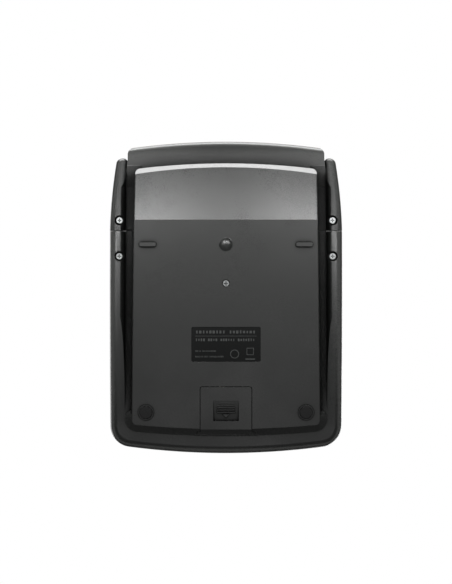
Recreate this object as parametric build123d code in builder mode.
"""Desk calculator with a keyboard slab, a tilted display slab and a wedge-shaped plinth underneath.

Millimetres.  +Z is up, +Y points away from the user, and the origin lies on the table under the middle of the
case.  The keys lie on the deck plane, and the lens lies on the display plane.
"""

from build123d import *
from math import cos, radians, sin, tan
import os

os.makedirs("parts", exist_ok=True)

# ---- driving dimensions: the case ----
HALF_WIDTH = 76.2
BACK_Y = 102.3
FRONT_Y = -BACK_Y
SEAM_Y = 42.7
SEAM_GAP = 0.3
SLAB = 11.5
WALL = 2.0
FOOT_HEIGHT = 1.5
FLAT_END_Y = -85.0
FRONT_BAR_Z = 4.0
KEY_TILT = 4.7
DISPLAY_TILT = 14.0
RAIL_WIDTH = 10.3
RAIL_ROUND = 4.6
UPPER_ROUND = 3.6
DECK_ROUND = 4.0
SPLIT_RISE = 5.75
CORNER_RADIUS = 14.0
CHANNEL_DEPTH = 4.6
CHANNEL_END_Y = -14.0
CHANNEL_RUN = 68.0
UPPER_CHANNEL_END_Y = 72.0
UPPER_CHANNEL_RUN = 16.0

# ---- driving dimensions: the plinth under the case ----
PLINTH_FRONT_HALF = 61.4
PLINTH_BACK_HALF = 59.3
PLINTH_FRONT_Y = -86.8
PLINTH_BACK_Y = 87.0
FRONT_SAG = 3.0
BACK_SAG = 3.7
CREASE_Y = 49.9
WEDGE_TILT = 14.0

# ---- driving dimensions: battery door and cell ----
DOOR_WIDTH = 33.3
DOOR_TOP_Y = -58.9
DOOR_STEP_Y = -88.4
DOOR_END_Y = -90.5
DOOR_THICK = 2.0
RUNNER_WIDTH = 37.3
DOOR_GAP = 0.3
CELL_RADIUS = 5.8
CELL_HEIGHT = 5.4
CELL_Y = -66.0
CELL_FLOOR_Z = 3.7

# ---- driving dimensions: keys ----
PITCH_X = 21.0
PITCH_Y = 19.2
TOP_ROW_Y = -3.0
KEY_WIDTH = 16.5
KEY_LENGTH = 14.0
SMALL_KEY_LENGTH = 11.0
KEY_RISE = 4.4
FACEPLATE = 0.5
DECK_WALL = 1.8
DISPLAY_WALL = 2.6
KEY_GAP = 0.35
FLANGE = 0.8

# ---- depths below the deck: rubber mat and circuit board ----
MAT_TOP = 5.0
MAT_THICK = 0.7
BOARD_THICK = 1.2
BOARD_HALF = 57.4
BOARD_FRONT = -94.0
BOARD_BACK = 36.0

# ---- driving dimensions: screws and feet ----
RAIL_SCREW_X = 69.9
LOWER_SCREW_Y = 26.2
UPPER_SCREW_Y = 49.8
CENTRE_SCREW_Y = 8.4
COUNTERBORE = 3.25
SCREW_HEAD = 1.95
SCREW_SHAFT = 1.1
FOOT_X = 52.0
FOOT_Y = -75.4
FOOT_RADIUS = 4.15
RIB_X = 50.9
RIB_Y = 33.7

STANDING = (Align.CENTER, Align.CENTER, Align.MIN)
HANGING = (Align.CENTER, Align.CENTER, Align.MAX)
KEY_SLOPE = tan(radians(KEY_TILT))
DISPLAY_SLOPE = tan(radians(DISPLAY_TILT))
WEDGE_SLOPE = tan(radians(WEDGE_TILT))


def rail_z(y):
    """Height of the lowest line of the rails."""
    below_seam = max(0, min(y, SEAM_Y) - FLAT_END_Y) * KEY_SLOPE
    above_seam = max(0, y - SEAM_Y) * DISPLAY_SLOPE
    return FRONT_BAR_Z + below_seam + above_seam


def deck_z(y):
    """Height of the upper face of the case."""
    below_seam = (min(y, SEAM_Y) - FLAT_END_Y) * KEY_SLOPE
    above_seam = max(0, y - SEAM_Y) * DISPLAY_SLOPE
    return FRONT_BAR_Z + SLAB + below_seam + above_seam


def plinth_z(y):
    """Height of the underside of the plinth: flat on its feet, then the wedge."""
    return FOOT_HEIGHT + max(0, y - CREASE_Y) * WEDGE_SLOPE


def tilted_plane(y, z, tilt):
    """A plane through (0, y, z), leaning up towards the back, with its own x along the case's X."""
    return Plane(origin=(0, y, z), x_dir=(1, 0, 0), z_dir=(0, -sin(radians(tilt)), cos(radians(tilt))))


deck = tilted_plane(0, deck_z(0), KEY_TILT)
display_deck = tilted_plane(SEAM_Y, deck_z(SEAM_Y), DISPLAY_TILT)
key_split = tilted_plane(SEAM_Y, rail_z(SEAM_Y) + SPLIT_RISE, KEY_TILT)
display_split = tilted_plane(SEAM_Y, rail_z(SEAM_Y) + SPLIT_RISE, DISPLAY_TILT)


def save(piece, name):
    """Labels a finished piece and writes it."""
    piece.part.label = name
    export_step(piece.part, f"parts/{name}.step")


def outer_rim(shape, z_of, above):
    """Edges where the outer side wall meets the upper or the lower face."""
    rim = []
    for edge in shape.edges():
        middle = edge.center()
        near_side = abs(middle.X) > HALF_WIDTH - 16 or abs(middle.Y) > BACK_Y - 7
        off_seam = abs(middle.Y - SEAM_Y) > 1
        height = middle.Z - z_of(middle.Y)
        at_face = height > -1 if above else height < 1
        if near_side and off_seam and at_face:
            rim.append(edge)
    return rim


def lower_slab(inset, floor, roof):
    """The keyboard slab, drawn in by inset at its sides, by floor below and by roof above."""
    side = HALF_WIDTH - inset
    front_side = side - 0.9
    corner_y = FRONT_Y + inset + 5.9
    low = [(FLAT_END_Y - 30, FRONT_BAR_Z + floor), (FLAT_END_Y, FRONT_BAR_Z + floor)]
    seam_low = (SEAM_Y + 8, rail_z(SEAM_Y) + 8 * KEY_SLOPE + floor)
    seam_high = (SEAM_Y + 8, deck_z(SEAM_Y) + 8 * KEY_SLOPE - roof)
    front_high = (FLAT_END_Y - 30, deck_z(FLAT_END_Y - 30) - roof)
    with BuildPart() as slab:
        with BuildSketch(Plane.XY) as plan:
            with BuildLine():
                right = ThreePointArc((side, SEAM_Y), (side - 0.1, -15), (front_side, corner_y))
                front = ThreePointArc(right @ 1, (0, FRONT_Y + inset), (-front_side, corner_y))
                left = ThreePointArc(front @ 1, (-side + 0.1, -15), (-side, SEAM_Y))
                Line(left @ 1, right @ 0)
            make_face()
            fillet(plan.vertices().group_by(Axis.Y)[0], radius=CORNER_RADIUS - inset)
        extrude(amount=deck_z(BACK_Y))
        with BuildSketch(Plane.YZ):
            with BuildLine():
                FilletPolyline(*low, seam_low, radius=120)
                Polyline(seam_low, seam_high, front_high, low[0])
            make_face()
        extrude(amount=HALF_WIDTH + 1, both=True, mode=Mode.INTERSECT)
    return slab.part


def upper_profile(start_y, floor, roof):
    """Side view of the display slab, from start_y to past its back."""
    end_y = BACK_Y + 1
    with BuildSketch(Plane.YZ) as profile:
        with BuildLine():
            Polyline(
                (start_y, rail_z(SEAM_Y) + (start_y - SEAM_Y) * DISPLAY_SLOPE + floor),
                (end_y, rail_z(end_y) + floor),
                (end_y, deck_z(end_y) - roof),
                (start_y, deck_z(SEAM_Y) + (start_y - SEAM_Y) * DISPLAY_SLOPE - roof),
                close=True,
            )
        make_face()
    return profile.sketch


def upper_rail():
    """The right rail of the display end, with its rounded tip."""
    with BuildPart() as rail:
        with BuildSketch(Plane.XY):
            with BuildLine():
                outer = ThreePointArc((HALF_WIDTH, SEAM_Y + SEAM_GAP), (75.3, 63), (72.2, 89.6))
                tip = Line(outer @ 1, (64.4, 93.4))
                inner = Line(tip @ 1, (HALF_WIDTH - RAIL_WIDTH, SEAM_Y + SEAM_GAP))
                Line(inner @ 1, outer @ 0)
            make_face()
        extrude(amount=deck_z(BACK_Y) + 5)
        extrude(upper_profile(SEAM_Y, 0, 0), amount=HALF_WIDTH + 1, both=True, mode=Mode.INTERSECT)
        fillet([e for e in rail.edges() if e.center().Y > SEAM_Y + 1], radius=UPPER_ROUND)
    return rail.part


def upper_body():
    """The display slab between the rails, with its arched back bar."""
    side = 64.9
    with BuildPart() as body:
        with BuildSketch(Plane.XY):
            with BuildLine():
                Polyline(
                    (-side, 97.6),
                    (-side, 90),
                    (-side - 5, SEAM_Y + SEAM_GAP),
                    (side + 5, SEAM_Y + SEAM_GAP),
                    (side, 90),
                    (side, 97.6),
                )
                ThreePointArc((side, 97.6), (0, BACK_Y), (-side, 97.6))
            make_face()
        extrude(amount=deck_z(BACK_Y) + 5)
        extrude(upper_profile(SEAM_Y, 0, 0), amount=HALF_WIDTH, both=True, mode=Mode.INTERSECT)
        back = [e for e in body.edges() if e.center().Y > BACK_Y - 6]
        fillet(back, radius=4.4)
    return body.part


def plinth_outline(inset, corner):
    """Plan of the plinth, between two shallow arcs."""
    front = PLINTH_FRONT_HALF - inset
    back = PLINTH_BACK_HALF - inset
    with BuildSketch(Plane.XY) as outline:
        with BuildLine():
            lower = ThreePointArc(
                (-front, PLINTH_FRONT_Y + inset + FRONT_SAG),
                (0, PLINTH_FRONT_Y + inset),
                (front, PLINTH_FRONT_Y + inset + FRONT_SAG),
            )
            upper = ThreePointArc(
                (back, PLINTH_BACK_Y - inset - BACK_SAG),
                (0, PLINTH_BACK_Y - inset),
                (-back, PLINTH_BACK_Y - inset - BACK_SAG),
            )
            Line(lower @ 1, upper @ 0)
            Line(upper @ 1, lower @ 0)
        make_face()
        fillet(outline.vertices(), radius=corner)
    return outline.sketch


def split_z(y):
    """Height of the parting line between the front and the back mouldings."""
    if y < SEAM_Y:
        return rail_z(SEAM_Y) + SPLIT_RISE - (SEAM_Y - y) * KEY_SLOPE
    return rail_z(y) + SPLIT_RISE


def plinth_block(inset, floor, corner, rise):
    """The plinth as a solid, flat underneath, then rising to the back, up to rise above the parting line."""
    with BuildPart() as block:
        extrude(plinth_outline(inset, corner), amount=deck_z(BACK_Y))
        with BuildSketch(Plane.YZ):
            with BuildLine():
                Polyline(
                    (FRONT_Y, FOOT_HEIGHT + floor),
                    (CREASE_Y + floor * WEDGE_SLOPE / 2, FOOT_HEIGHT + floor),
                    (BACK_Y, plinth_z(BACK_Y) + floor),
                    (BACK_Y, split_z(BACK_Y) + rise),
                    (SEAM_Y, split_z(SEAM_Y) + rise),
                    (FRONT_Y, split_z(FRONT_Y) + rise),
                    close=True,
                )
            make_face()
        extrude(amount=HALF_WIDTH, both=True, mode=Mode.INTERSECT)
    return block.part


def channel_section(y, z):
    """Cross-section of the channel beside the plinth, with the round inner side of the rail."""
    inner = PLINTH_BACK_HALF - 4
    edge = HALF_WIDTH - RAIL_WIDTH
    low = -20
    with BuildSketch(Plane(origin=(0, y, z), x_dir=(1, 0, 0), z_dir=(0, -1, 0))) as section:
        with BuildLine():
            wall = Line((inner, low), (inner, CHANNEL_DEPTH))
            roof = Line(wall @ 1, (edge, CHANNEL_DEPTH))
            crown = RadiusArc(roof @ 1, (edge + 4.4, -0.2), -4.6)
            outer = Line(crown @ 1, (edge + 4.4, low))
            Line(outer @ 1, wall @ 0)
        make_face()
    return section.sketch


def channel(end_y, slope, run):
    """Right-hand channel from the seam to end_y along a slope; it then fades out of the moulding over run."""
    way = 1 if end_y > SEAM_Y else -1
    overlap = way * 0.1
    start = channel_section(SEAM_Y - overlap, rail_z(SEAM_Y) - overlap * slope)
    reach = end_y - SEAM_Y + overlap
    along = Vector(0, reach, reach * slope)
    fade = Vector(0, way * run, way * run * slope - CHANNEL_DEPTH - 0.6)
    with BuildPart() as tool:
        extrude(start, amount=along.length, dir=along.normalized())
        extrude(channel_section(end_y, rail_z(end_y)), amount=fade.length, dir=fade.normalized())
    return tool.part


with BuildPart() as lower_case:
    add(lower_slab(0, 0, 0))
    fillet(outer_rim(lower_case, rail_z, False), radius=RAIL_ROUND)
    fillet(outer_rim(lower_case, deck_z, True), radius=DECK_ROUND)

with BuildPart() as upper_case:
    add(upper_body())
    rail = upper_rail()
    add(rail)
    add(mirror(rail, about=Plane.YZ, mode=Mode.PRIVATE))

# ---- plinth, with its bevelled back and the soft slope round its front ----
# radius of the arc along the back of the plinth
BACK_ARC = (PLINTH_BACK_HALF**2 + BACK_SAG**2) / (2 * BACK_SAG)
BEVEL = 2.7
BEVEL_RISE = 3.6
SKIRT_BACK_Y = -79.0
SKIRT_RISE = 2.9
SKIRT_FLARE = 61.0
with BuildPart() as plinth:
    add(plinth_block(0, 0, 3.5, 0))
    underside = [
        e
        for e in plinth.edges()
        if abs(e.center().Z - plinth_z(e.center().Y)) < 0.6 and abs(e.center().Y - CREASE_Y) > 1
    ]
    fillet(underside, radius=0.5)
    bevel_y = PLINTH_BACK_Y - BEVEL
    overshoot = 3.0
    rise = BEVEL_RISE / BEVEL
    with BuildSketch(Plane.YZ):
        with BuildLine():
            Polyline(
                (bevel_y - overshoot, plinth_z(bevel_y) - overshoot * rise),
                (PLINTH_BACK_Y + overshoot, plinth_z(bevel_y) - overshoot * rise),
                (PLINTH_BACK_Y + overshoot, plinth_z(bevel_y) + BEVEL_RISE + overshoot * rise),
                close=True,
            )
        make_face()
    revolve(axis=Axis((0, PLINTH_BACK_Y - BACK_ARC, 0), (0, 0, 1)), mode=Mode.SUBTRACT)
    with BuildSketch(Plane.XY.offset(FOOT_HEIGHT + 0.02)) as skirt:
        add(plinth_outline(0.4, 3.5))
        with Locations((0, SKIRT_BACK_Y + 100)):
            Rectangle(2 * HALF_WIDTH, 200, mode=Mode.SUBTRACT)
        fillet(skirt.vertices().group_by(Axis.Y)[-1], radius=1)
    extrude(amount=SKIRT_RISE, taper=-SKIRT_FLARE)

# ---- screw places and their sizes ----
SEAT_RISE = 2.5
HOLE = SCREW_SHAFT + 0.06
BOSS = 3.2
CENTRE_BOSS = 4.0
CENTRE_SEAT_Z = 3.3
CENTRE_BORE = 2.45
BOSS_DEPTH = 8.0
POST = 2.0
POST_SCREW = 0.9
POSTS = [(x, y) for x in (-42.0, 42.0) for y in (-12.6, -51.0, -90.5)] + [(-50.0, 32.0), (50.0, 32.0)]
centre_boss_z = deck_z(CENTRE_SCREW_Y) - BOSS_DEPTH

# ---- rear shell: plinth, lower rails and front bar ----
LABEL_WIDTH = 44.5
LABEL_LENGTH = 22.2
LABEL_Y = -31.2
LABEL_DEPTH = 0.3
recess_z = FOOT_HEIGHT + DOOR_THICK + 0.15
RUNNER_Z = 2.7
WEB = 1.3
CUP_BORE = 6.0
CUP_WALL = 1.0
DOME_RADIUS = 4.4
DOME_RISE = 1.4
rim_hollow = lower_slab(WALL + 0.4, WALL, -WALL)

with BuildPart() as rear_shell:
    add(lower_case.part)
    split(bisect_by=key_split, keep=Keep.BOTTOM)
    right_channel = channel(CHANNEL_END_Y, KEY_SLOPE, CHANNEL_RUN)
    add(right_channel, mode=Mode.SUBTRACT)
    add(mirror(right_channel, about=Plane.YZ, mode=Mode.PRIVATE), mode=Mode.SUBTRACT)
    add(plinth.part)
    # inside of the plinth
    add(plinth_block(WALL, WALL, 2.0, WALL), mode=Mode.SUBTRACT)
    # battery web, cell cup and screw boss stand on the floor
    with BuildSketch(Plane.XY.offset(recess_z)):
        with Locations((0, (DOOR_TOP_Y + DOOR_STEP_Y) / 2)):
            Rectangle(RUNNER_WIDTH + 4, DOOR_TOP_Y - DOOR_STEP_Y + 4)
    extrude(amount=WEB)
    with BuildSketch(Plane.XY.offset(recess_z)):
        with Locations((0, CELL_Y)):
            Circle(CUP_BORE + CUP_WALL)
    extrude(amount=8.6 - recess_z)
    with BuildSketch(Plane.XY.offset(FOOT_HEIGHT)):
        with Locations((0, CENTRE_SCREW_Y)):
            Circle(CENTRE_BOSS)
    extrude(amount=centre_boss_z - 0.1 - FOOT_HEIGHT)
    # door recess, runner slots and the wide mouth at the front
    with BuildSketch(Plane.XY) as opening:
        with Locations((0, (DOOR_TOP_Y - 95) / 2 + DOOR_GAP / 2)):
            Rectangle(DOOR_WIDTH + 2 * DOOR_GAP, DOOR_TOP_Y + 95 + DOOR_GAP)
        fillet(opening.vertices().group_by(Axis.Y)[-1], radius=1.6)
        with Locations((0, (DOOR_STEP_Y - 94) / 2 + DOOR_GAP / 2)):
            Rectangle(RUNNER_WIDTH + 2 * DOOR_GAP, DOOR_STEP_Y + 94 + DOOR_GAP)
    extrude(amount=recess_z, mode=Mode.SUBTRACT)
    with BuildSketch(Plane.XY.offset(RUNNER_Z - 0.1)):
        with Locations((0, (DOOR_TOP_Y - 3 - 94) / 2)):
            Rectangle(RUNNER_WIDTH + 2 * DOOR_GAP, 94 + DOOR_TOP_Y - 3)
    extrude(amount=recess_z - RUNNER_Z + 0.1, mode=Mode.SUBTRACT)
    # cell bore with a notch for the side contact
    with BuildSketch(Plane.XY.offset(recess_z - 0.05)):
        with Locations((0, CELL_Y)):
            Circle(CUP_BORE)
        with Locations((3, CELL_Y + CUP_BORE)):
            Rectangle(5, 3.5)
    extrude(amount=10, mode=Mode.SUBTRACT)
    # centre screw
    with Locations((0, CENTRE_SCREW_Y, FOOT_HEIGHT)):
        Cylinder(CENTRE_BORE, CENTRE_SEAT_Z - FOOT_HEIGHT, align=STANDING, mode=Mode.SUBTRACT)
        Cylinder(HOLE, 30, align=STANDING, mode=Mode.SUBTRACT)
    # label recess
    with BuildSketch(Plane.XY.offset(FOOT_HEIGHT)):
        with Locations((0, LABEL_Y)):
            RectangleRounded(LABEL_WIDTH + 0.3, LABEL_LENGTH + 0.3, 1)
    extrude(amount=LABEL_DEPTH, mode=Mode.SUBTRACT)
    # rings round the rubber feet
    with BuildSketch(Plane.XY.offset(FOOT_HEIGHT - 0.4)):
        with Locations((-FOOT_X, FOOT_Y), (FOOT_X, FOOT_Y)):
            Circle(FOOT_RADIUS + 0.85)
    extrude(amount=1.0)
    with BuildSketch(Plane.XY.offset(FOOT_HEIGHT - 0.5)):
        with Locations((-FOOT_X, FOOT_Y), (FOOT_X, FOOT_Y)):
            Circle(FOOT_RADIUS + 0.15)
    extrude(amount=1.0, mode=Mode.SUBTRACT)
    # moulded rib feet
    with BuildSketch(Plane.XY):
        with Locations((-RIB_X, RIB_Y), (RIB_X, RIB_Y)):
            RectangleRounded(10.7, 2.6, 1.0)
    extrude(amount=FOOT_HEIGHT + 0.5)
    # domed foot
    dome_sphere = (DOME_RADIUS**2 + DOME_RISE**2) / (2 * DOME_RISE)
    with BuildSketch(Plane.YZ):
        with BuildLine():
            dome_top = (RIB_Y, FOOT_HEIGHT - DOME_RISE)
            dome_edge = (RIB_Y + DOME_RADIUS, FOOT_HEIGHT)
            RadiusArc(dome_top, dome_edge, -dome_sphere)
            Polyline(
                dome_edge,
                (RIB_Y + DOME_RADIUS, FOOT_HEIGHT + 0.5),
                (RIB_Y, FOOT_HEIGHT + 0.5),
                dome_top,
            )
        make_face()
    revolve(axis=Axis((0, RIB_Y, 0), (0, 0, 1)))
    # hollow of the front bar and of the rails
    with BuildSketch(Plane.XY) as zones:
        with Locations((0, PLINTH_FRONT_Y - 5)):
            Rectangle(2 * PLINTH_FRONT_HALF - 8, 20)
        for x in (-72.8, 72.8):
            with Locations((x, -30)):
                Rectangle(9, 92)
    zone_part = extrude(zones.sketch, amount=30, mode=Mode.PRIVATE)
    add(rim_hollow.intersect(zone_part), mode=Mode.SUBTRACT)
    # rail screws
    for x in (-RAIL_SCREW_X, RAIL_SCREW_X):
        with Locations((x, LOWER_SCREW_Y, 0)):
            Cylinder(COUNTERBORE, rail_z(LOWER_SCREW_Y) + SEAT_RISE, align=STANDING, mode=Mode.SUBTRACT)
            Cylinder(HOLE, 40, align=STANDING, mode=Mode.SUBTRACT)
save(rear_shell, "rear_shell")

# ---- battery door ----
GRIP_WIDTH = 16.4
GRIP_TOP_Y = -67.8
GRIP_END_Y = -81.0
GRIP_DEPTH = 0.8
RIB_COUNT = 5
RIB_PITCH = 1.5
RIB_LENGTH = 11.8
door_z = FOOT_HEIGHT + DOOR_THICK
with BuildPart() as battery_door:
    with BuildSketch(Plane.XY.offset(FOOT_HEIGHT)) as plate:
        with Locations((0, (DOOR_TOP_Y + DOOR_END_Y) / 2)):
            Rectangle(DOOR_WIDTH, DOOR_TOP_Y - DOOR_END_Y)
        fillet(plate.vertices().group_by(Axis.Y)[-1], radius=1.5)
        with Locations((0, (DOOR_STEP_Y + DOOR_END_Y) / 2)):
            Rectangle(RUNNER_WIDTH, DOOR_STEP_Y - DOOR_END_Y)
    extrude(amount=DOOR_THICK)
    with BuildSketch(Plane.XY.offset(RUNNER_Z)):
        with Locations((0, (DOOR_TOP_Y - 4 + DOOR_END_Y) / 2)):
            Rectangle(RUNNER_WIDTH, DOOR_TOP_Y - 4 - DOOR_END_Y)
    extrude(amount=door_z - RUNNER_Z)
    # the front end follows the soft slope of the plinth
    slope = 1 / tan(radians(SKIRT_FLARE))
    with BuildSketch(Plane.YZ):
        with BuildLine():
            Polyline(
                (PLINTH_FRONT_Y + 0.2, FOOT_HEIGHT),
                (PLINTH_FRONT_Y + 0.2, FOOT_HEIGHT - 2),
                (PLINTH_FRONT_Y - 6, FOOT_HEIGHT - 2),
                (PLINTH_FRONT_Y - 6, FOOT_HEIGHT + 6.2 * slope),
                close=True,
            )
        make_face()
    extrude(amount=RUNNER_WIDTH, both=True, mode=Mode.SUBTRACT)
    # thumb recess, deepest at its front wall
    with BuildSketch(Plane.YZ):
        with BuildLine():
            Polyline(
                (GRIP_TOP_Y, FOOT_HEIGHT),
                (GRIP_TOP_Y, FOOT_HEIGHT - 1),
                (GRIP_END_Y, FOOT_HEIGHT - 1),
                (GRIP_END_Y, FOOT_HEIGHT),
                (GRIP_END_Y + 0.5, FOOT_HEIGHT + GRIP_DEPTH),
                close=True,
            )
        make_face()
    extrude(amount=GRIP_WIDTH / 2, both=True, mode=Mode.SUBTRACT)
    for i in range(RIB_COUNT):
        y = GRIP_TOP_Y - 1.6 - i * RIB_PITCH
        with BuildSketch(Plane.XY.offset(FOOT_HEIGHT + 0.05)):
            with Locations((0, y)):
                RectangleRounded(RIB_LENGTH, 0.7, 0.3)
        extrude(amount=GRIP_DEPTH)
    with BuildSketch(Plane.XY.offset(FOOT_HEIGHT + 0.25)):
        with BuildLine():
            Polyline((-2.4, -76.6), (2.4, -76.6), (0, -78.9), close=True)
        make_face()
    extrude(amount=GRIP_DEPTH)
save(battery_door, "battery_door")

# ---- keyboard shell ----
COLUMNS = [(i - 2.5) * PITCH_X for i in range(6)]
ROWS = [TOP_ROW_Y - i * PITCH_Y for i in range(5)]
TALL_ROW = (ROWS[3] + ROWS[4]) / 2
TALL_LENGTH = KEY_LENGTH + PITCH_Y
SWITCH_Y = 22.0
SWITCH_TRAVEL = 3.0
SLOT_LENGTH = 11.0
SLOT_WIDTH = 3.6
KNOBS = {"rounding_switch": -36.0, "decimal_switch": 36.0}
PLATE_HALF = 64.0
PLATE_FRONT = -92.5
PLATE_BACK = 38.5

KEYS = {
    "key_square_root": (COLUMNS[0], ROWS[0], SMALL_KEY_LENGTH),
    "key_percent": (COLUMNS[1], ROWS[0], SMALL_KEY_LENGTH),
    "key_change_sign": (COLUMNS[2], ROWS[0], SMALL_KEY_LENGTH),
    "key_memory_recall": (COLUMNS[3], ROWS[0], SMALL_KEY_LENGTH),
    "key_memory_minus": (COLUMNS[4], ROWS[0], SMALL_KEY_LENGTH),
    "key_memory_plus": (COLUMNS[5], ROWS[0], SMALL_KEY_LENGTH),
    "key_backspace": (COLUMNS[0], ROWS[1], KEY_LENGTH),
    "key_7": (COLUMNS[1], ROWS[1], KEY_LENGTH),
    "key_8": (COLUMNS[2], ROWS[1], KEY_LENGTH),
    "key_9": (COLUMNS[3], ROWS[1], KEY_LENGTH),
    "key_multiply": (COLUMNS[4], ROWS[1], KEY_LENGTH),
    "key_divide": (COLUMNS[5], ROWS[1], KEY_LENGTH),
    "key_memory_clear": (COLUMNS[0], ROWS[2], KEY_LENGTH),
    "key_4": (COLUMNS[1], ROWS[2], KEY_LENGTH),
    "key_5": (COLUMNS[2], ROWS[2], KEY_LENGTH),
    "key_6": (COLUMNS[3], ROWS[2], KEY_LENGTH),
    "key_subtract": (COLUMNS[4], ROWS[2], KEY_LENGTH),
    "key_grand_total": (COLUMNS[5], ROWS[2], KEY_LENGTH),
    "key_clear_entry": (COLUMNS[0], ROWS[3], KEY_LENGTH),
    "key_1": (COLUMNS[1], ROWS[3], KEY_LENGTH),
    "key_2": (COLUMNS[2], ROWS[3], KEY_LENGTH),
    "key_3": (COLUMNS[3], ROWS[3], KEY_LENGTH),
    "key_all_clear": (COLUMNS[0], ROWS[4], KEY_LENGTH),
    "key_0": (COLUMNS[1], ROWS[4], KEY_LENGTH),
    "key_00": (COLUMNS[2], ROWS[4], KEY_LENGTH),
    "key_decimal_point": (COLUMNS[3], ROWS[4], KEY_LENGTH),
    "key_add": (COLUMNS[4], TALL_ROW, TALL_LENGTH),
    "key_equals": (COLUMNS[5], TALL_ROW, TALL_LENGTH),
}


def key_openings():
    """Holes for the keys and slots for the switches, drawn on the deck plane."""
    with BuildSketch(deck) as holes:
        for x, y, length in KEYS.values():
            with Locations((x, y)):
                RectangleRounded(KEY_WIDTH + 2 * KEY_GAP, length + 2 * KEY_GAP, 2.2)
        for x in KNOBS.values():
            with Locations((x, SWITCH_Y)):
                SlotOverall(SLOT_LENGTH, SLOT_WIDTH)
    return holes.sketch


openings = key_openings()
deck_hollow = lower_slab(WALL + 0.4, -2 * WALL, DECK_WALL)
with BuildPart() as keyboard_shell:
    add(lower_case.part)
    split(bisect_by=key_split, keep=Keep.TOP)
    add(deck_hollow, mode=Mode.SUBTRACT)
    # posts for the board screws, the centre screw and the rail screws
    with BuildSketch(deck.offset(-DECK_WALL + 0.2)):
        with Locations(*POSTS):
            Circle(POST)
    extrude(amount=-(MAT_TOP + MAT_THICK - DECK_WALL + 0.2))
    with BuildSketch(deck.offset(-DECK_WALL + 0.2)):
        with Locations((0, CENTRE_SCREW_Y)):
            Circle(CENTRE_BOSS - 0.6)
    extrude(amount=-(BOSS_DEPTH - DECK_WALL))
    with BuildSketch(deck.offset(-DECK_WALL + 0.2)):
        with Locations((-RAIL_SCREW_X, LOWER_SCREW_Y), (RAIL_SCREW_X, LOWER_SCREW_Y)):
            Circle(BOSS)
    extrude(amount=-(SPLIT_RISE - DECK_WALL + 0.1))
    # screw holes
    with BuildSketch(deck.offset(-BOSS_DEPTH - 1)):
        with Locations(*POSTS):
            Circle(POST_SCREW + 0.06)
    extrude(amount=BOSS_DEPTH + 1 - DECK_WALL + 0.1, mode=Mode.SUBTRACT)
    with Locations((0, CENTRE_SCREW_Y, 0)):
        Cylinder(HOLE, deck_z(CENTRE_SCREW_Y) - 1.5, align=STANDING, mode=Mode.SUBTRACT)
    for x in (-RAIL_SCREW_X, RAIL_SCREW_X):
        with Locations((x, LOWER_SCREW_Y, 0)):
            Cylinder(HOLE, deck_z(LOWER_SCREW_Y) - 1.5, align=STANDING, mode=Mode.SUBTRACT)
    # openings and the shallow bed of the faceplate
    extrude(openings, amount=-DECK_WALL - 0.1, mode=Mode.SUBTRACT)
    with BuildSketch(deck):
        with Locations((0, (PLATE_FRONT + PLATE_BACK) / 2)):
            RectangleRounded(2 * PLATE_HALF + 0.3, PLATE_BACK - PLATE_FRONT + 0.3, 4.15)
    extrude(amount=-FACEPLATE, mode=Mode.SUBTRACT)
    # lip that closes the seam under the display deck
    with BuildSketch(Plane.YZ):
        with BuildLine():
            Polyline(
                (SEAM_Y - 4, deck_z(SEAM_Y - 4) - DECK_WALL + 0.1),
                (SEAM_Y - 0.3, deck_z(SEAM_Y - 0.3) - DECK_WALL + 0.1),
                (SEAM_Y - 0.1, deck_z(SEAM_Y) - DISPLAY_WALL - 0.3),
                (SEAM_Y + 5, deck_z(SEAM_Y + 5) - DISPLAY_WALL - 0.3),
                (SEAM_Y + 5, deck_z(SEAM_Y + 5) - DISPLAY_WALL - 1.3),
                (SEAM_Y - 4, deck_z(SEAM_Y - 4) - DECK_WALL - 1.4),
                close=True,
            )
        make_face()
    extrude(amount=HALF_WIDTH - RAIL_WIDTH, both=True)
save(keyboard_shell, "keyboard_shell")

with BuildPart() as faceplate:
    with BuildSketch(deck.offset(-FACEPLATE)):
        with Locations((0, (PLATE_FRONT + PLATE_BACK) / 2)):
            RectangleRounded(2 * PLATE_HALF, PLATE_BACK - PLATE_FRONT, 4)
    extrude(amount=FACEPLATE)
    extrude(openings, amount=-DECK_WALL, mode=Mode.SUBTRACT)
save(faceplate, "faceplate")

# ---- display rear frame: upper rails, back bar and the flange round the plinth ----
FRAME_GAP = 0.35
with BuildPart() as display_rear_frame:
    add(upper_case.part)
    split(bisect_by=display_split, keep=Keep.BOTTOM)
    right_upper_channel = channel(UPPER_CHANNEL_END_Y, DISPLAY_SLOPE, UPPER_CHANNEL_RUN)
    add(right_upper_channel, mode=Mode.SUBTRACT)
    add(mirror(right_upper_channel, about=Plane.YZ, mode=Mode.PRIVATE), mode=Mode.SUBTRACT)
    extrude(plinth_outline(-FRAME_GAP, 3.5 + FRAME_GAP), amount=deck_z(BACK_Y), mode=Mode.SUBTRACT)
    # hollow of the back bar
    with BuildSketch(Plane.XY):
        with BuildLine():
            Polyline((60, 94.5), (60, 92), (-60, 92), (-60, 94.5))
            ThreePointArc((-60, 94.5), (0, BACK_Y - 2.6), (60, 94.5))
        make_face()
    bar_hollow = extrude(amount=deck_z(BACK_Y), mode=Mode.PRIVATE)
    over_floor = extrude(upper_profile(SEAM_Y, WALL, 0), amount=HALF_WIDTH, both=True, mode=Mode.PRIVATE)
    add(bar_hollow.intersect(over_floor), mode=Mode.SUBTRACT)
    for x in (-RAIL_SCREW_X, RAIL_SCREW_X):
        with Locations((x, UPPER_SCREW_Y, 0)):
            Cylinder(COUNTERBORE, rail_z(UPPER_SCREW_Y) + SEAT_RISE, align=STANDING, mode=Mode.SUBTRACT)
            Cylinder(HOLE, 40, align=STANDING, mode=Mode.SUBTRACT)
save(display_rear_frame, "display_rear_frame")

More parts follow.
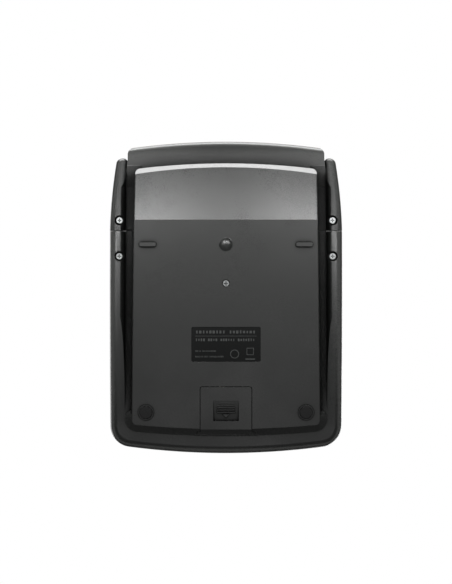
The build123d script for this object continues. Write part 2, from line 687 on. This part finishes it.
# ---- display shell and lens ----
LENS_WIDTH = 121.0
LENS_LENGTH = 46.0
LENS_Y = 30.5
LENS_THICK = 1.4
LCD_Y = 23.5
LCD_WINDOW = (107.0, 24.0)
SOLAR_X = 27.0
SOLAR_Y = 46.0
SOLAR_WINDOW = (50.0, 9.0)
with BuildPart() as display_hollow:
    with BuildSketch(Plane.XY):
        with BuildLine():
            Polyline((62, 95.2), (62, 90.5), (69, 87.5), (73.6, SEAM_Y - 1))
            Polyline((-62, 95.2), (-62, 90.5), (-69, 87.5), (-73.6, SEAM_Y - 1))
            Line((-73.6, SEAM_Y - 1), (73.6, SEAM_Y - 1))
            ThreePointArc((-62, 95.2), (0, BACK_Y - WALL - 0.6), (62, 95.2))
        make_face()
    extrude(amount=deck_z(BACK_Y))
    extrude(
        upper_profile(SEAM_Y - 1, SPLIT_RISE - 3, DISPLAY_WALL),
        amount=HALF_WIDTH,
        both=True,
        mode=Mode.INTERSECT,
    )

with BuildPart() as display_shell:
    add(upper_case.part)
    split(bisect_by=display_split, keep=Keep.TOP)
    add(display_hollow.part, mode=Mode.SUBTRACT)
    with BuildSketch(Plane.XY.offset(deck_z(UPPER_SCREW_Y) - DISPLAY_WALL + 0.5)):
        with Locations((-RAIL_SCREW_X, UPPER_SCREW_Y), (RAIL_SCREW_X, UPPER_SCREW_Y)):
            Circle(BOSS)
    extrude(amount=-(SLAB - SPLIT_RISE - DISPLAY_WALL + 2))
    split(bisect_by=display_split, keep=Keep.TOP)
    for x in (-RAIL_SCREW_X, RAIL_SCREW_X):
        with Locations((x, UPPER_SCREW_Y, 0)):
            Cylinder(HOLE, deck_z(UPPER_SCREW_Y) - 1.5, align=STANDING, mode=Mode.SUBTRACT)
    with BuildSketch(display_deck):
        with Locations((0, LENS_Y)):
            RectangleRounded(LENS_WIDTH + 0.3, LENS_LENGTH + 0.3, 3.15)
    extrude(amount=-LENS_THICK, mode=Mode.SUBTRACT)
    with BuildSketch(display_deck):
        with Locations((0, LCD_Y)):
            RectangleRounded(*LCD_WINDOW, 1)
        with Locations((SOLAR_X, SOLAR_Y)):
            RectangleRounded(*SOLAR_WINDOW, 1)
    extrude(amount=-2 * DISPLAY_WALL, mode=Mode.SUBTRACT)
save(display_shell, "display_shell")

with BuildPart() as display_lens:
    with BuildSketch(display_deck.offset(-LENS_THICK)):
        with Locations((0, LENS_Y)):
            RectangleRounded(LENS_WIDTH, LENS_LENGTH, 3)
    extrude(amount=LENS_THICK - 0.1)
save(display_lens, "display_lens")

# ---- behind the lens ----
LCD_TOP = DISPLAY_WALL + 0.1
LCD_THICK = 2.0
HOLDER_BACK = 0.6
FLEX_HALF = 32.0
LEAD_X = (40.0, 43.0)
with BuildPart() as lcd_panel:
    with BuildSketch(display_deck.offset(-LCD_TOP)):
        with Locations((0, LCD_Y)):
            Rectangle(112, 29)
    extrude(amount=-LCD_THICK)
save(lcd_panel, "lcd_panel")

with BuildPart() as lcd_holder:
    with BuildSketch(display_deck.offset(-LCD_TOP)):
        with Locations((0, LCD_Y)):
            RectangleRounded(117.6, 34, 1.5)
    extrude(amount=-LCD_THICK - HOLDER_BACK)
    with BuildSketch(display_deck.offset(-LCD_TOP)):
        with Locations((0, LCD_Y)):
            Rectangle(112.3, 29.3)
    extrude(amount=-LCD_THICK - 0.05, mode=Mode.SUBTRACT)
    with BuildSketch(display_deck.offset(-LCD_TOP)):
        with Locations((0, LCD_Y)):
            Rectangle(104, 20)
        with Locations((0, LCD_Y - 14)):
            Rectangle(2 * FLEX_HALF + 2, 14)
        with Locations((LEAD_X[0] + 1.5, LCD_Y + 17)):
            Rectangle(7, 6)
    extrude(amount=-2 * LCD_THICK - HOLDER_BACK, mode=Mode.SUBTRACT)
save(lcd_holder, "lcd_holder")

with BuildPart() as solar_cell:
    with BuildSketch(display_deck.offset(-LCD_TOP)):
        with Locations((SOLAR_X, SOLAR_Y)):
            Rectangle(53, 11)
    extrude(amount=-1.2)
save(solar_cell, "solar_cell")


def strip(points, thick, x_low, x_high):
    """A thin strip that follows points in Y and Z, between two X values."""
    under = [(y, z - thick) for y, z in reversed(points)]
    with BuildPart() as band:
        with BuildSketch(Plane.YZ.offset(x_low)):
            with BuildLine():
                Polyline(*points, *under, close=True)
            make_face()
        extrude(amount=x_high - x_low)
    return band


def display_point(along, depth):
    """Y and Z of a point along the display slope, at a depth below its face."""
    tilt = radians(DISPLAY_TILT)
    y = SEAM_Y + along * cos(tilt) + depth * sin(tilt)
    return (y, deck_z(SEAM_Y) + along * sin(tilt) - depth * cos(tilt))


board_top = MAT_TOP + MAT_THICK
board_bottom = board_top + BOARD_THICK
FLEX = 0.2


def board_z(y, lift):
    """Height of a point above the board's upper face."""
    return deck_z(y) - board_top / cos(radians(KEY_TILT)) + lift


flex_back = LCD_TOP + LCD_THICK + 0.05
display_flex = strip(
    [
        display_point(11.5, flex_back),
        display_point(5.5, flex_back),
        (38.0, board_z(38.0, 0.9)),
        (34.5, board_z(34.5, FLEX + 0.05)),
        (31.0, board_z(31.0, FLEX + 0.05)),
    ],
    FLEX,
    -FLEX_HALF,
    FLEX_HALF,
)
save(display_flex, "display_flex")

LEAD = 0.5
with BuildPart() as solar_leads:
    for x in LEAD_X:
        route = [display_point(41.2, 4.5), display_point(39.0, 5.3), display_point(35.5, 7.8)]
        route += [display_point(8, 8.5)]
        route += [(39.5, board_z(39.5, 1.6)), (34.0, board_z(34.0, LEAD + 0.05))]
        with BuildLine() as path:
            FilletPolyline(*[(x, y, z) for y, z in route], radius=1.2)
        with BuildSketch(Plane(origin=path.line @ 0, z_dir=path.line % 0)):
            Circle(LEAD)
        sweep(path=path.line)
save(solar_leads, "solar_leads")

# ---- keyboard electronics ----
DOME_TOP = 2.4
DOME_HIGH = 0.8
MAT_BACK = 3.5
with BuildPart() as main_board:
    with BuildSketch(deck.offset(-board_bottom)):
        with Locations((0, (BOARD_FRONT + BOARD_BACK) / 2)):
            RectangleRounded(2 * BOARD_HALF, BOARD_BACK - BOARD_FRONT, 2)
        with Locations((0, CENTRE_SCREW_Y)):
            Circle(CENTRE_BOSS, mode=Mode.SUBTRACT)
        with Locations(*POSTS):
            Circle(POST_SCREW + 0.1, mode=Mode.SUBTRACT)
    extrude(amount=BOARD_THICK)
save(main_board, "main_board")

with BuildPart() as processor_cover:
    with BuildSketch(deck.offset(-board_bottom)):
        with Locations((18, 14)):
            Circle(6)
    extrude(amount=-1.6, taper=40)
save(processor_cover, "processor_cover")

with BuildPart() as keypad_mat:
    with BuildSketch(deck.offset(-board_top)):
        with Locations((0, (BOARD_FRONT + MAT_BACK) / 2)):
            RectangleRounded(2 * BOARD_HALF, MAT_BACK - BOARD_FRONT, 2)
        with Locations(*[post for post in POSTS if post[1] < MAT_BACK]):
            Circle(POST + 0.3, mode=Mode.SUBTRACT)
    extrude(amount=MAT_THICK)
    with BuildSketch(deck.offset(-MAT_TOP + DOME_HIGH)):
        with Locations(*[(x, y) for x, y, length in KEYS.values()]):
            Circle(DOME_TOP)
    extrude(amount=-DOME_HIGH, taper=-45)
save(keypad_mat, "keypad_mat")

# ---- key caps ----
FLANGE_TOP = DECK_WALL + 0.1
FLANGE_THICK = 1.0
KEY_BOTTOM = 3.3
CAP_ROOF = 1.4
CAP_TAPER = 4.0
DISH_RADIUS = 45.0
DISH_DEPTH = 0.8
PLUNGER = 1.8
PLUNGER_END = 2.5


def make_key(x, y, length):
    """A dished key cap with a retaining flange and a plunger over its rubber dome."""
    cap_height = KEY_BOTTOM + KEY_RISE
    centre = deck.from_local_coords((x, y, 0))
    across = Plane(origin=centre, x_dir=(1, 0, 0), z_dir=-deck.y_dir)
    with BuildPart() as key:
        with BuildSketch(deck.offset(-KEY_BOTTOM)):
            with Locations((x, y)):
                RectangleRounded(KEY_WIDTH, length, 2)
        extrude(amount=cap_height, taper=CAP_TAPER)
        with BuildSketch(across):
            with Locations((0, KEY_RISE - DISH_DEPTH + DISH_RADIUS)):
                Circle(DISH_RADIUS)
        extrude(amount=length, both=True, mode=Mode.SUBTRACT)
        dish = key.faces().sort_by(Axis(centre, deck.z_dir))[-1]
        fillet(dish.edges(), radius=0.6)
        with BuildSketch(deck.offset(-FLANGE_TOP)):
            with Locations((x, y)):
                RectangleRounded(KEY_WIDTH + 2 * FLANGE, length + 2 * FLANGE, 2.6)
        extrude(amount=-FLANGE_THICK)
        with BuildSketch(deck.offset(-KEY_BOTTOM)):
            with Locations((x, y)):
                RectangleRounded(KEY_WIDTH - 3, length - 3, 1.2)
        extrude(amount=cap_height - CAP_ROOF - DISH_DEPTH, taper=CAP_TAPER, mode=Mode.SUBTRACT)
        with BuildSketch(deck.offset(-PLUNGER_END)):
            with Locations((x, y)):
                Circle(PLUNGER)
        extrude(amount=PLUNGER_END + KEY_RISE - CAP_ROOF)
    return key


for name, (x, y, length) in KEYS.items():
    key = make_key(x, y, length)
    save(key, name)

# ---- slide switches ----
KNOB_WIDTH = 7.0
KNOB_LENGTH = 4.8
KNOB_RISE = 2.2


def make_knob(x):
    """A ribbed slide knob with a stem through its slot and a foot under the deck."""
    with BuildPart() as knob:
        with BuildSketch(deck.offset(0.15)):
            with Locations((x, SWITCH_Y)):
                RectangleRounded(KNOB_WIDTH, KNOB_LENGTH, 0.8)
        extrude(amount=KNOB_RISE - 0.7)
        for step in (-2, -1, 0, 1, 2):
            with BuildSketch(deck.offset(KNOB_RISE - 0.6)):
                with Locations((x + step * 1.3, SWITCH_Y)):
                    Rectangle(0.6, KNOB_LENGTH - 0.8)
            extrude(amount=0.6)
        with BuildSketch(deck.offset(-FLANGE_TOP - 1)):
            with Locations((x, SWITCH_Y)):
                SlotOverall(SLOT_LENGTH - 2 * SWITCH_TRAVEL - 1, SLOT_WIDTH - 0.6)
        extrude(amount=FLANGE_TOP + 1.3)
        with BuildSketch(deck.offset(-FLANGE_TOP)):
            with Locations((x, SWITCH_Y)):
                Rectangle(9, 7)
        extrude(amount=-1)
        with BuildSketch(deck.offset(-FLANGE_TOP)):
            with Locations((x, SWITCH_Y)):
                Rectangle(3, 3)
        extrude(amount=-(board_top - FLANGE_TOP - 0.2))
    return knob


for name, x in KNOBS.items():
    knob = make_knob(x)
    save(knob, name)

# ---- button cell and its contacts ----
CONTACT = 0.25
cell_top = CELL_FLOOR_Z + CELL_HEIGHT
with BuildPart() as button_cell:
    with BuildSketch(Plane.XY.offset(CELL_FLOOR_Z + 0.6)):
        with Locations((0, CELL_Y)):
            Circle(CELL_RADIUS)
    extrude(amount=CELL_HEIGHT - 0.6)
    fillet(button_cell.edges().group_by(Axis.Z)[-1], radius=0.6)
    with BuildSketch(Plane.XY.offset(CELL_FLOOR_Z)):
        with Locations((0, CELL_Y)):
            Circle(CELL_RADIUS - 0.9)
    extrude(amount=0.6)
save(button_cell, "button_cell")

top_contact = strip(
    [(-69.5, cell_top + 0.05 + CONTACT), (-61.0, cell_top + 0.05 + CONTACT), (-55.5, 10.6), (-50.0, 11.0)],
    CONTACT,
    -5.5,
    -1.0,
)
save(top_contact, "cell_top_contact")

rim_y = CELL_Y + CELL_RADIUS + 0.05
with BuildPart() as rim_contact:
    with BuildSketch(Plane.YZ.offset(1)):
        with Locations((rim_y + CONTACT / 2, 7.0)):
            Rectangle(CONTACT, 6.0)
        with Locations((rim_y + 3, 10.0 - CONTACT / 2)):
            Rectangle(6, CONTACT)
    extrude(amount=4)
save(rim_contact, "cell_rim_contact")

# ---- label, feet and screws ----
with BuildPart() as label_plate:
    with BuildSketch(Plane.XY.offset(FOOT_HEIGHT + 0.05)):
        with Locations((0, LABEL_Y)):
            RectangleRounded(LABEL_WIDTH, LABEL_LENGTH, 0.9)
    extrude(amount=LABEL_DEPTH - 0.05)
save(label_plate, "label_plate")

with BuildPart() as rubber_feet:
    with BuildSketch(Plane.XY):
        with Locations((-FOOT_X, FOOT_Y), (FOOT_X, FOOT_Y)):
            Circle(FOOT_RADIUS)
    extrude(amount=FOOT_HEIGHT + 0.5)
    fillet(rubber_feet.edges().group_by(Axis.Z)[0], radius=0.4)
save(rubber_feet, "rubber_feet")


def add_screw(x, y, seat, head, head_height, shaft, length):
    """A cross-head screw driven upwards, with its head under the height seat."""
    with Locations((x, y, seat)):
        Cylinder(head, head_height, align=HANGING)
        Cylinder(shaft, length, align=STANDING)
    with Locations((x, y, seat - head_height)):
        Box(head * 1.3, head * 0.32, 0.7, align=STANDING, mode=Mode.SUBTRACT)
        Box(head * 0.32, head * 1.3, 0.7, align=STANDING, mode=Mode.SUBTRACT)


with BuildPart() as rail_screws:
    for x in (-RAIL_SCREW_X, RAIL_SCREW_X):
        for y in (LOWER_SCREW_Y, UPPER_SCREW_Y):
            add_screw(x, y, rail_z(y) + SEAT_RISE, SCREW_HEAD, 1.3, SCREW_SHAFT, 6.5)
save(rail_screws, "rail_screws")

with BuildPart() as centre_screw:
    add_screw(0, CENTRE_SCREW_Y, CENTRE_SEAT_Z, SCREW_HEAD, 1.2, SCREW_SHAFT, 15)
save(centre_screw, "centre_screw")

with BuildPart() as board_screws:
    for x, y in POSTS:
        place = Plane(origin=deck.from_local_coords((x, y, -board_bottom)), x_dir=(1, 0, 0), z_dir=deck.z_dir)
        with Locations(place):
            Cylinder(1.7, 1.1, align=HANGING)
            Cylinder(POST_SCREW, 4.2, align=STANDING)
save(board_screws, "board_screws")
